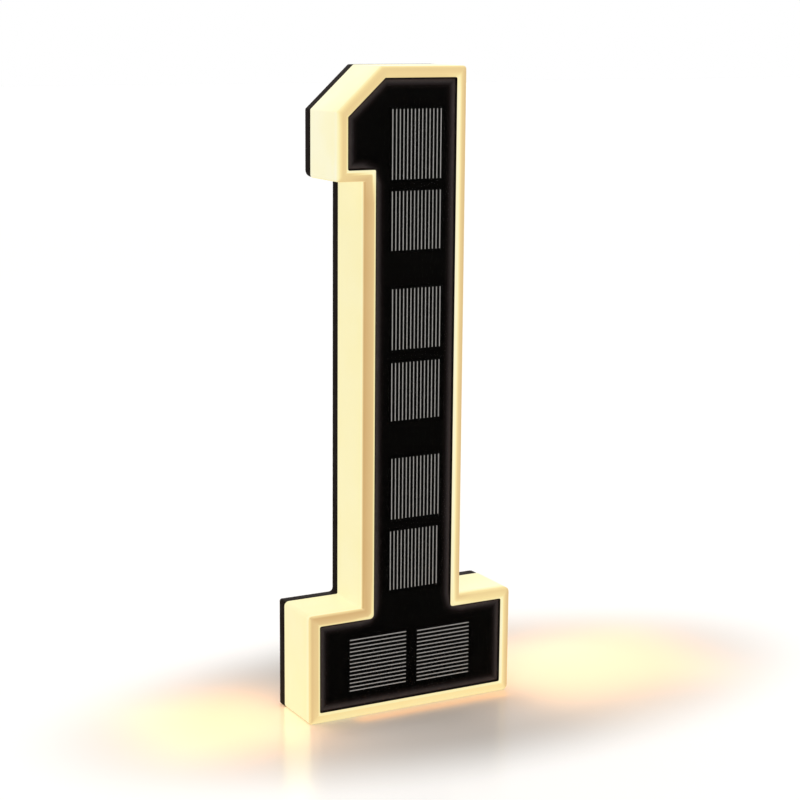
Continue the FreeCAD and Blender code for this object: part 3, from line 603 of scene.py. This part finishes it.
def coverCuts():
    # screw holes, post holes, keyholes with the room behind them, and the button's collar, dish and hole
    back, inner, rise = digit["back"], cover["plateInner"], cover["slotRise"]
    front, inBack = cover["cutsFrom"], cover["backCutsFrom"]
    radius, sunk, sink = cover["clearRadius"], cover["sinkRadius"], back - cover["sinkDepth"]
    screwHole = [(radius, front), (radius, sink), (sunk, sink)] + backMouth(sunk)
    cuts = turnedAt(shell["screws"], "screwHole", screwHole, sides=40)
    radius = cover["postPilot"]
    cuts += turnedAt(cover["posts"], "pilot", [(radius, front), (radius, inner)], sides=24)
    room = [(cover["pocketRadius"], cover["pocketFront"]), (cover["pocketRadius"], inner)]
    entry = [(cover["entryRadius"], inBack)] + backMouth(cover["entryRadius"])
    slot = [(cover["slotRadius"], inBack)] + backMouth(cover["slotRadius"])
    for place in cover["keyholes"]:
        cuts.append(slotted("pocketRoom", room, place, rise))
        cuts.append(turned("entry", entry, place, sides=48))
        cuts.append(slotted("slot", slot, place, rise))
    radius = cover["collarBore"]
    cuts.append(turned("collarRoom", [(radius, front), (radius, inner)], cover["button"], sides=48))
    floor, depth, past = cover["dishFloor"], cover["dishDepth"], cover["dishPast"]
    dish = [(floor + out, back - depth + up) for out, up in cover["dishCorner"]]
    dish.append((cover["dishTop"] + past * (cover["dishTop"] - floor) / depth, back + past))
    cuts.append(turned("dish", dish, cover["button"], sides=64))
    radius = cover["buttonHole"]
    cuts.append(turned("buttonHole", [(radius, inBack), (radius, back)], cover["button"], sides=48))
    return cuts


# the two shades carry a brown cast that is painted light: the shell's warm glow on the black cover
blackAbs = {"shades": [(0.3, "#0F0907"), (0.75, "#21160F")], "grainMm": 0.45, "handledMm": 9.0,
            "handledGloss": (0.4, 0.54), "shine": 0.02, "bump": 0.35, "bumpMm": 0.06}


def absMaterial():
    # black ABS, moulded in a spark-eroded tool: near black, with a brown cast that is painted light from the
    # shell's warm glow, an even fine grain that breaks up the shine; the real grain is 0.1 mm and is drawn at
    # 0.45 mm so that it shows
    material, tree, onObject = newMaterial("blackAbsSparkEroded")
    grain = addNode(tree, "TexNoise", {"Scale": 1 / (blackAbs["grainMm"] * mm), "Detail": 4.0,
                                       "Roughness": 0.65}, onObject)
    handled = addNode(tree, "TexNoise", {"Scale": 1 / (blackAbs["handledMm"] * mm), "Detail": 3.0}, onObject)
    shade = addNode(tree, "ValToRGB", {"stops": blackAbs["shades"]}, {"Fac": (grain, "Fac")})
    low, high = blackAbs["handledGloss"]
    gloss = addNode(tree, "MapRange", {"From Min": 0.3, "From Max": 0.7, "To Min": low, "To Max": high},
                    {"Value": (handled, "Fac")})
    endMaterial(tree, blackAbs, grain, {"IOR": 1.5, "Specular IOR Level": blackAbs["shine"]},
                {"Base Color": (shade, "Color"), "Roughness": (gloss, "Result")})
    return material


rearCover = loftDigit("rearCover", outline, coverRings())
addCoverBodies(rearCover)
combine(rearCover, coverCuts(), "DIFFERENCE")
smooth(rearCover)
dress(rearCover, absMaterial(), "rear_cover")
print("cover", len(rearCover.data.polygons), "faces")

# the panel: black board with the cells on it, under a poured clear layer
panel = {
    "inset": 4.35, "boardFront": -12.90, "boardBack": -11.30,
    "resinFront": -13.65, "resinBack": -12.92, "resinEdge": 0.3, "resinSteps": 3,
    "cornerGrowth": 0.8,        # how much rounder corners get for each millimetre that they are drawn in
    # painted light: the board is greyer near its edge, for the shell's light leaking under the clear layer:
    # how far in that reaches, its shades, and the rings that carry it
    "cells": 8, "paintedLeakReach": 4.2, "paintedLeakInsets": (0.12, 0.35, 0.8, 1.5, 2.2, 2.9, 4.2),
    "paintedLeak": [(0.0, "#0C0908"), (0.08, "#2D2725"), (0.19, "#554B48"), (0.36, "#453F3F"), (0.52, "#322C2C"),
             (0.69, "#191413"), (1.0, "#070605")],
    # cuts across the board that keep the painted leak of light even along each side
    "cutsUp": (44.0, 60.0, 190.0, 207.0), "cutsAcross": (-28.0, -22.0, 22.0, 28.0),
}


def panelCorners(inset):
    radii, growth = digit["panel"], panel["cornerGrowth"] * inset
    return {name: radii.get(name, radii["usual"]) + growth for name in cornerNames + ["usual"]}


def buildBoard():
    inset, front = panel["inset"], panel["boardFront"]
    rings = [(inset + step, panelCorners(step), front) for step in reversed(panel["paintedLeakInsets"])]
    rings += [(inset, panelCorners(0), depth) for depth in (front, panel["boardBack"])]
    body = loftDigit("panelBoard", outline, rings)
    sliceAt(body, (0, 0, 1), panel["cutsUp"])
    sliceAt(body, (1, 0, 0), panel["cutsAcross"])
    paint(body, "fromEdge", lambda at: max(0.0, min(sideDistances(at.x, at.z).values()) - inset))
    return body


def buildResin():
    inset, front = panel["inset"], panel["resinFront"]
    rings = [(inset + across, panelCorners(0), front + down)
             for across, down in quarterRound(panel["resinEdge"], panel["resinSteps"])]
    rings.append((inset, panelCorners(0), panel["resinBack"]))
    return loftDigit("panelResin", outline, rings)


boardMask = {"grainMm": 1.2, "shine": 0.02, "gloss": (0.28, 0.4), "bump": 0.05, "bumpMm": 0.02}


def boardMaterial():
    # black lacquered circuit board, screen coated: near black, darker right at its edge as painted shade,
    # and greyer in a soft band along its edge as painted light, where the shell's light leaks under the clear
    # layer
    material, tree, onObject = newMaterial("blackSolderMaskScreenCoated")
    fromEdge = addNode(tree, "Attribute", {"attribute_name": "fromEdge"})
    share = addNode(tree, "MapRange", {"From Max": panel["paintedLeakReach"]}, {"Value": (fromEdge, "Fac")})
    paintedLeak = addNode(tree, "ValToRGB", {"stops": panel["paintedLeak"]}, {"Fac": (share, "Result")})
    grain = addNode(tree, "TexNoise", {"Scale": 1 / (boardMask["grainMm"] * mm), "Detail": 3.0}, onObject)
    endMaterial(tree, boardMask, grain, {"IOR": 1.5, "Specular IOR Level": boardMask["shine"]},
                {"Base Color": (paintedLeak, "Color")})
    return material


clearEpoxy = {"shade": "#060505", "ior": 1.12, "tint": 0.1, "waveMm": 22.0, "gloss": (0.05, 0.09),
              "bump": 0.08, "bumpMm": 0.15}


def resinMaterial():
    # clear epoxy, poured and self levelled: a wet gloss over the dark parts, waved very slightly,
    # with little of the room in it
    material, tree, onObject = newMaterial("clearEpoxyPoured")
    wave = addNode(tree, "TexNoise", {"Scale": 1 / (clearEpoxy["waveMm"] * mm), "Detail": 1.0}, onObject)
    endMaterial(tree, clearEpoxy, wave, {"Base Color": clearEpoxy["shade"], "IOR": clearEpoxy["ior"],
                                         "Alpha": clearEpoxy["tint"]}, {})
    return material


panelBoard = buildBoard()
smooth(panelBoard)
dress(panelBoard, boardMaterial(), "panel_board")
panelResin = buildResin()
smooth(panelResin)
dress(panelResin, resinMaterial(), "panel_cover")
print("panel board", len(panelBoard.data.polygons), "faces, resin", len(panelResin.data.polygons), "faces")

# the cover's screws: pan heads with a cross recess, threaded shanks
screw = {
    "seat": 12.45, "tip": 3.45, "tipRadius": 0.35, "tipLength": 0.7, "rootRadius": 1.0, "crestRadius": 1.25,
    # how far from the tip and the seat the thread starts and stops, and where in each turn its crest
    # runs and its root begins
    "threadStart": 0.9, "threadStop": 0.3, "pitch": 0.9, "crestFrom": 0.12, "crestTo": 0.24, "rootFrom": 0.42,
    # the head, and how far its rounding lies in from its radius and down from its top
    "headRadius": 2.3, "headTop": 14.05, "headEdge": 0.1, "middle": 0.2,
    "headRound": ((0.0, 0.62), (0.08, 0.4), (0.3, 0.2), (0.75, 0.06), (1.4, 0.0)),
    "crossReach": 1.3, "crossHalf": 0.3, "crossDepth": 0.9, "crossNarrow": 0.6, "seed": 7,
}


def screwProfile():
    seat, top, radius, edge = screw["seat"], screw["headTop"], screw["headRadius"], screw["headEdge"]
    root, crest = screw["rootRadius"], screw["crestRadius"]
    profile = [(screw["tipRadius"], screw["tip"]), (root, screw["tip"] + screw["tipLength"])]
    depth = screw["tip"] + screw["threadStart"]
    while depth + screw["pitch"] < seat - screw["threadStop"]:
        profile += [(crest, depth + screw["crestFrom"]), (crest, depth + screw["crestTo"]),
                    (root, depth + screw["rootFrom"]), (root, depth + screw["pitch"])]
        depth += screw["pitch"]
    profile += [(root, seat), (radius - edge, seat), (radius, seat + edge)]
    profile += [(radius - across, top - down) for across, down in screw["headRound"]]
    return profile + [(screw["middle"], top)]


def crossBlade(reach, half):
    # one arm of the recess: a cube that reaches 1 mm each way, stretched, and narrowed at its bottom
    top, depth, narrow = screw["headTop"], screw["crossDepth"], screw["crossNarrow"]
    bpy.ops.object.select_all(action="DESELECT")
    bpy.ops.mesh.primitive_cube_add(size=2 * mm, location=(0, top * mm, 0))
    blade = bpy.context.object
    bpy.ops.object.transform_apply(location=True, rotation=True, scale=True)
    enterEdit()
    bpy.ops.transform.resize(value=(reach, depth, half), center_override=(0, top * mm, 0))
    pick("VERT", lambda at: at.y < top)
    bpy.ops.transform.resize(value=(narrow, 1, narrow), center_override=(0, (top - depth) * mm, 0))
    leaveEdit()
    return blade


def buildScrews():
    first = turned("coverScrews", screwProfile(), (0, 0), sides=32)
    reach, half = screw["crossReach"], screw["crossHalf"]
    combine(first, [crossBlade(reach, half), crossBlade(half, reach)], "DIFFERENCE")
    turns = random.Random(screw["seed"])
    copies = []
    for x, z in shell["screws"]:
        selectOnly(first)
        bpy.ops.object.duplicate()
        copies.append(bpy.context.object)
        enterEdit()
        pickAll()
        bpy.ops.transform.rotate(value=turns.uniform(0, math.pi / 2), orient_axis="Y",
                                 center_override=(0, 0, 0))
        slide(x, 0, z)
        leaveEdit()
    bpy.data.objects.remove(first, do_unlink=True)
    selectOnly(*copies)
    bpy.ops.object.join()
    screws = bpy.context.object
    screws.name = "coverScrews"
    return screws


zincSteel = {"shades": [(0.3, "#9EA0A4"), (0.7, "#BCBDBE")], "cloudMm": 1.1, "gloss": (0.24, 0.42),
             "bump": 0.12, "bumpMm": 0.02}


def steelMaterial():
    # zinc-plated steel, cold formed: bright grey with a faint blue cast and the fine cloudiness of plating
    material, tree, onObject = newMaterial("zincPlatedSteelColdFormed")
    cloud = addNode(tree, "TexNoise", {"Scale": 1 / (zincSteel["cloudMm"] * mm), "Detail": 4.0}, onObject)
    shade = addNode(tree, "ValToRGB", {"stops": zincSteel["shades"]}, {"Fac": (cloud, "Fac")})
    endMaterial(tree, zincSteel, cloud, {"Metallic": 1.0}, {"Base Color": (shade, "Color")})
    return material


steel = steelMaterial()
coverScrews = buildScrews()
smooth(coverScrews)
dress(coverScrews, steel, "cover_screws")
print("screws", len(coverScrews.data.polygons), "faces")

# the push button: flanged cap with a groove for its seal and a shallow finger hollow
button = {
    "flangeRadius": 5.6, "flangeFront": 10.95, "flangeBack": 11.80, "flangeEdge": 0.1,
    "radius": 4.5, "top": 13.95, "edge": 0.4, "edgeSteps": 4,
    "grooveRadius": 3.8, "grooveFront": 12.30, "grooveBack": 13.10,
    # a fine ring and the hollow inside it, as radius and depth below the top
    "hollow": ((3.75, 0.0), (3.70, 0.1), (3.50, 0.1), (3.45, 0.0), (3.10, 0.0), (2.60, 0.07),
               (1.90, 0.14), (1.00, 0.18), (0.20, 0.19)),
}


def buildButton():
    flange, front, back = button["flangeRadius"], button["flangeFront"], button["flangeBack"]
    radius, top, soft = button["radius"], button["top"], button["flangeEdge"]
    groove, grooveFront, grooveBack = button["grooveRadius"], button["grooveFront"], button["grooveBack"]
    profile = [(flange - soft, front), (flange, front + soft), (flange, back - soft), (flange - soft, back),
               (radius, back), (radius, grooveFront), (groove, grooveFront), (groove, grooveBack),
               (radius, grooveBack)]
    rounded = reversed(quarterRound(button["edge"], button["edgeSteps"]))
    profile += [(radius - across, top - down) for across, down in rounded]
    profile += [(hollowRadius, top - depth) for hollowRadius, depth in button["hollow"]]
    return turned("switchButton", profile, cover["button"], sides=64)


# finishes of the button and of the parts that keep their solids: colour, second colour, roughness,
# grain in mm, bump, metallic
finishes = {
    "buttonNylonMoulded": ("#26252A", "#302F33", 0.42, 0.35, 0.15, 0.0),        # satin, greyer than the cover
    "siliconeRubberMoulded": ("#8B8A86", "#9B9A95", 0.6, 0.8, 0.1, 0.0),        # dull grey, soft sheen
    "acrylicFoamTapeCut": ("#17171A", "#222226", 0.9, 0.25, 0.5, 0.0),          # matt, open pores
    "whiteSolderMaskScreened": ("#E9E8E3", "#F1F0EC", 0.38, 1.4, 0.05, 0.0),    # clean white lacquer
    "phosphorResinDispensed": ("#F2C24E", "#FFDD7C", 0.3, 0.5, 0.1, 0.0),       # yellow lens of a warm light
    "blackEpoxyTransferMoulded": ("#161617", "#202022", 0.55, 0.2, 0.25, 0.0),  # matt chip body
    "ferriteFired": ("#2E2E31", "#3A3A3D", 0.5, 0.3, 0.3, 0.0),                 # dark sintered grey
    "bariumTitanateFired": ("#8F744F", "#A38860", 0.45, 0.3, 0.15, 0.0),        # tan ceramic blocks
    "blackNylonMoulded": ("#1B1B1D", "#252527", 0.5, 0.4, 0.2, 0.0),            # dark semi-matt
    "polypropyleneMoulded": ("#18181A", "#212123", 0.6, 0.5, 0.2, 0.0),         # waxy black holder
    "pvcShrinkFilm": ("#16478A", "#1D55A0", 0.25, 2.0, 0.08, 0.0),              # tight blue sleeve
    "nickelStripStamped": ("#B4B1A9", "#C8C5BE", 0.3, 0.6, 0.1, 1.0),           # warm bright sheet metal
    "naturalNylonMoulded": ("#DDD8C8", "#E8E4D6", 0.4, 0.6, 0.1, 0.0),          # cream plug and socket
    "redPvcExtruded": ("#9E1512", "#B21D18", 0.45, 0.7, 0.1, 0.0),              # even red insulation
    "blackPvcExtruded": ("#151516", "#1F1F20", 0.45, 0.7, 0.1, 0.0),            # even black insulation
}
# what they share: broad clouds under the grain, the grain's part in the mix, where in it the two
# colours stand, how far the roughness swings, and how deep the bump is
finishMix = {"broadMm": 6, "grainPart": 0.5, "firstAt": 0.55, "secondAt": 0.95, "swing": 0.06, "bumpMm": 0.04}
coated = {
    "siliconeRubberMoulded": ("rear_seal", "button_ring"), "acrylicFoamTapeCut": ("panel_tape",),
    "whiteSolderMaskScreened": ("light_board",), "phosphorResinDispensed": ("light_chips",),
    "blackEpoxyTransferMoulded": ("charge_chip", "chip_resistors"), "ferriteFired": ("power_coil",),
    "bariumTitanateFired": ("chip_capacitors",), "blackNylonMoulded": ("switch_body", "switch_plunger"),
    "polypropyleneMoulded": ("battery_holder",), "pvcShrinkFilm": ("battery_cell",),
    "nickelStripStamped": ("positive_contact", "negative_contact"),
    "naturalNylonMoulded": ("lead_socket", "lead_plug"),
    "redPvcExtruded": ("panel_lead_red",), "blackPvcExtruded": ("panel_lead_black",),
}


def finishMaterial(name):
    first, second, roughness, grainMm, strength, metallic = finishes[name]
    look = {"gloss": (roughness - finishMix["swing"], roughness + finishMix["swing"]),
            "bump": strength, "bumpMm": finishMix["bumpMm"]}
    stops = [(finishMix["firstAt"], first), (finishMix["secondAt"], second)]
    material, tree, onObject = newMaterial(name)
    grain = addNode(tree, "TexNoise", {"Scale": 1 / (grainMm * mm), "Detail": 4.0, "Roughness": 0.6},
                    onObject)
    broad = addNode(tree, "TexNoise", {"Scale": 1 / (finishMix["broadMm"] * mm), "Detail": 2.0}, onObject)
    both = addNode(tree, "Math", {"operation": "MULTIPLY_ADD", 1: finishMix["grainPart"]},
                   {0: (grain, "Fac"), 2: (broad, "Fac")})
    shade = addNode(tree, "ValToRGB", {"stops": stops}, {"Fac": (both, "Value")})
    endMaterial(tree, look, grain, {"Metallic": metallic}, {"Base Color": (shade, "Color")})
    return material


siliconFace = {"shades": [(0.3, "#030303"), (0.7, "#070806")], "cloudMm": 5.0, "shine": 0.02,
               "gloss": (0.3, 0.4)}


def siliconMaterial():
    # monocrystalline silicon, etched and coated: almost black, a trace of blue green, faintly clouded
    material, tree, onObject = newMaterial("siliconEtchedCoated")
    cloud = addNode(tree, "TexNoise", {"Scale": 1 / (siliconFace["cloudMm"] * mm), "Detail": 3.0}, onObject)
    shade = addNode(tree, "ValToRGB", {"stops": siliconFace["shades"]}, {"Fac": (cloud, "Fac")})
    endMaterial(tree, siliconFace, cloud, {"IOR": 1.5, "Specular IOR Level": siliconFace["shine"]},
                {"Base Color": (shade, "Color")})
    return material


silverPaste = {"shades": [(0.3, "#B4B2B0"), (0.7, "#C6C4C2")], "grainMm": 0.35, "roughness": 0.6,
               "shine": 0.2, "bump": 0.2, "bumpMm": 0.02}


def pasteMaterial():
    # silver paste, screen printed and fired: pale matt grey lines, slightly grainy
    material, tree, onObject = newMaterial("silverPastePrinted")
    grain = addNode(tree, "TexNoise", {"Scale": 1 / (silverPaste["grainMm"] * mm), "Detail": 3.0}, onObject)
    shade = addNode(tree, "ValToRGB", {"stops": silverPaste["shades"]}, {"Fac": (grain, "Fac")})
    endMaterial(tree, silverPaste, grain, {"Roughness": silverPaste["roughness"],
                                           "Specular IOR Level": silverPaste["shine"]},
                {"Base Color": (shade, "Color")})
    return material


def coat(node, material):
    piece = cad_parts[node]
    piece.data.materials.clear()
    piece.data.materials.append(material)


made = {name: finishMaterial(name) for name in finishes}
switchButton = buildButton()
smooth(switchButton)
dress(switchButton, made["buttonNylonMoulded"], "switch_button", "button")
silicon = siliconMaterial()
for number in range(1, panel["cells"] + 1):
    coat("solar_cell_%d" % number, silicon)
coat("cell_fingers", pasteMaterial())
coat("board_screws", steel)
for name, nodes in coated.items():
    for node in nodes:
        coat(node, made[name])
bpy.data.objects.remove(outline, do_unlink=True)
print("button made, cells and hidden parts coated")

# studio: pale floor, white surroundings, soft lamps, and the camera of the photograph's view
studio = {
    "floorHalf": 6.0, "floorShade": "#D8D4CF", "floorGloss": 0.2, "floorShine": 0.1, "openFloor": 0.45,
    "skyLevel": 0.38,
    # the floor turns white from shadeStart of the way to an ellipse round the sign: its middle and
    # half sizes in metres
    "shadeMiddle": (0.022, -0.002), "shadeHalf": (0.188, 0.096), "shadeStart": 0.5,
    # place in metres, width and depth in metres, watts, colour, and the point it is aimed at
    "lamps": {
        "keyAbove": ((-0.10, 0.25, 1.30), (0.7, 0.7), 6.0, "#FFFFFF", (0.0, 0.0, 0.1)),
        "fillFront": ((-0.90, -1.30, 0.55), (1.0, 1.0), 9.0, "#FFFFFF", (0.0, 0.0, 0.1)),
        "fillRight": ((1.20, -0.60, 0.60), (1.0, 1.0), 4.0, "#FFFFFF", (0.0, 0.0, 0.1)),
        # the sign's own light on the floor round it, and the left wall's shine in the floor
        "spillLeft": ((-0.076, 0.004, 0.022), (0.060, 0.064), 0.025, "#FFB656", (-0.076, 0.004, 0.0)),
        "spillRight": ((0.094, -0.002, 0.022), (0.092, 0.073), 0.0360, "#FFB656", (0.094, -0.002, 0.0)),
        "spillRear": ((0.082, 0.034, 0.030), (0.050, 0.046), 0.0026, "#FFFFFF", (0.082, 0.034, 0.0)),
        "spillCorner": ((0.070, -0.052, 0.020), (0.046, 0.026), 0.0010, "#FFE2BE", (0.070, -0.052, 0.0)),
        "spillFront": ((0.0, -0.042, 0.020), (0.080, 0.035), 0.0010, "#FFC89A", (0.0, -0.042, 0.0)),
        "spillEdge": ((0.008, -0.0172, 0.003), (0.068, 0.004), 0.0011, "#FF9E20", (0.008, -0.0172, 0.0)),
        "shineLeft": ((-0.0447, -0.0025, 0.0215), (0.0235, 0.043), 0.0078, "#FFF9A9",
                      (-1.0, -0.0025, 0.0215)),
    },
}


def buildFloor():
    bpy.ops.object.select_all(action="DESELECT")
    bpy.ops.mesh.primitive_plane_add(size=2 * studio["floorHalf"], location=(0, 0, 0))
    floor = bpy.context.object
    floor.name = "studioFloor"
    material, tree, onObject = newMaterial("paleFloorSatin")
    rays = addNode(tree, "LightPath")
    surface = addNode(tree, "BsdfPrincipled", {"Base Color": studio["floorShade"],
                                               "Roughness": studio["floorGloss"],
                                               "Specular IOR Level": studio["floorShine"]})
    # 0 round the sign, where the floor shows its own shade, and 1 further out, where it is white
    centred = addNode(tree, "Mapping", {"vector_type": "TEXTURE", "Location": (*studio["shadeMiddle"], 0),
                                        "Scale": (*studio["shadeHalf"], 1)}, onObject)
    away = addNode(tree, "VectorMath", {"operation": "LENGTH"}, {0: (centred, "Vector")})
    openness = addNode(tree, "MapRange", {"interpolation_type": "SMOOTHSTEP",
                                          "From Min": studio["shadeStart"]}, {"Value": (away, "Value")})
    level = addNode(tree, "Math", {"operation": "MULTIPLY", 1: studio["openFloor"]},
                    {0: (openness, "Result")})
    lift = addNode(tree, "Math", {"operation": "MULTIPLY"}, {0: (level, "Value"), 1: (rays, "Is Camera Ray")})
    white = addNode(tree, "Emission", {"Color": "#FFFFFF"}, {"Strength": (lift, "Value")})
    both = addNode(tree, "AddShader", {}, {0: (surface, "BSDF"), 1: (white, "Emission")})
    addNode(tree, "OutputMaterial", {}, {"Surface": (both, "Shader")})
    floor.data.materials.append(material)


def buildSky():
    # white where it is seen, directly, in gloss or through glass, and weaker as a light
    world = bpy.data.worlds.new("studioWhite")
    scene.world = world
    world.use_nodes = True
    tree = world.node_tree
    tree.nodes.clear()
    rays = addNode(tree, "LightPath")
    seen = addNode(tree, "Math", {"operation": "MAXIMUM"},
                   {0: (rays, "Is Camera Ray"), 1: (rays, "Is Glossy Ray")})
    seenAll = addNode(tree, "Math", {"operation": "MAXIMUM"},
                      {0: (seen, "Value"), 1: (rays, "Is Transmission Ray")})
    soft = addNode(tree, "Background", {"Color": "#FFFFFF", "Strength": studio["skyLevel"]})
    white = addNode(tree, "Background", {"Color": "#FFFFFF", "Strength": 1.0})
    both = addNode(tree, "MixShader", {},
                   {0: (seenAll, "Value"), 1: (soft, "Background"), 2: (white, "Background")})
    addNode(tree, "OutputWorld", {}, {"Surface": (both, "Shader")})


def addLamps():
    # the spill and shine lamps light the floor alone, so no lamp but the soft ones lights the object
    floorOnly = bpy.data.collections.new("floorOnly")
    floorOnly.objects.link(bpy.data.objects["studioFloor"])
    for name, (place, (width, depth), watts, shade, aim) in studio["lamps"].items():
        data = bpy.data.lights.new(name, "AREA")
        data.shape = "RECTANGLE"
        data.size, data.size_y = width, depth
        data.energy = watts
        data.color = linear(shade)[:3]
        lamp = bpy.data.objects.new(name, data)
        lamp.location = place
        lamp.rotation_euler = (Vector(aim) - Vector(place)).to_track_quat("-Z", "Y").to_euler()
        lamp.visible_camera = False
        lamp.visible_glossy = not name.startswith("spill")
        lamp.visible_diffuse = not name.startswith("shine")
        if name.startswith(("spill", "shine")):
            lamp.light_linking.receiver_collection = floorOnly
        scene.collection.objects.link(lamp)


# place in metres, turns in degrees, lens and sensor in millimetres
camera = {"place": (-0.34919, -0.64570, 0.26939), "yaw": 28.4798, "pitch": 11.3957, "roll": 0.448,
          "lens": 86.557, "sensor": 36.0, "nearest": 0.01}


def addCamera():
    data = bpy.data.cameras.new("camera")
    data.lens = camera["lens"]
    data.sensor_width = camera["sensor"]
    data.clip_start = camera["nearest"]
    view = bpy.data.objects.new("camera", data)
    turn = (Matrix.Rotation(math.radians(-camera["yaw"]), 3, "Z")
            @ Matrix.Rotation(math.radians(90 - camera["pitch"]), 3, "X")
            @ Matrix.Rotation(math.radians(camera["roll"]), 3, "Z"))
    view.location = camera["place"]
    view.rotation_euler = turn.to_euler()
    scene.collection.objects.link(view)
    scene.camera = view


buildFloor()
buildSky()
addLamps()
addCamera()
scene.view_settings.view_transform = "Standard"
print("studio and camera set")
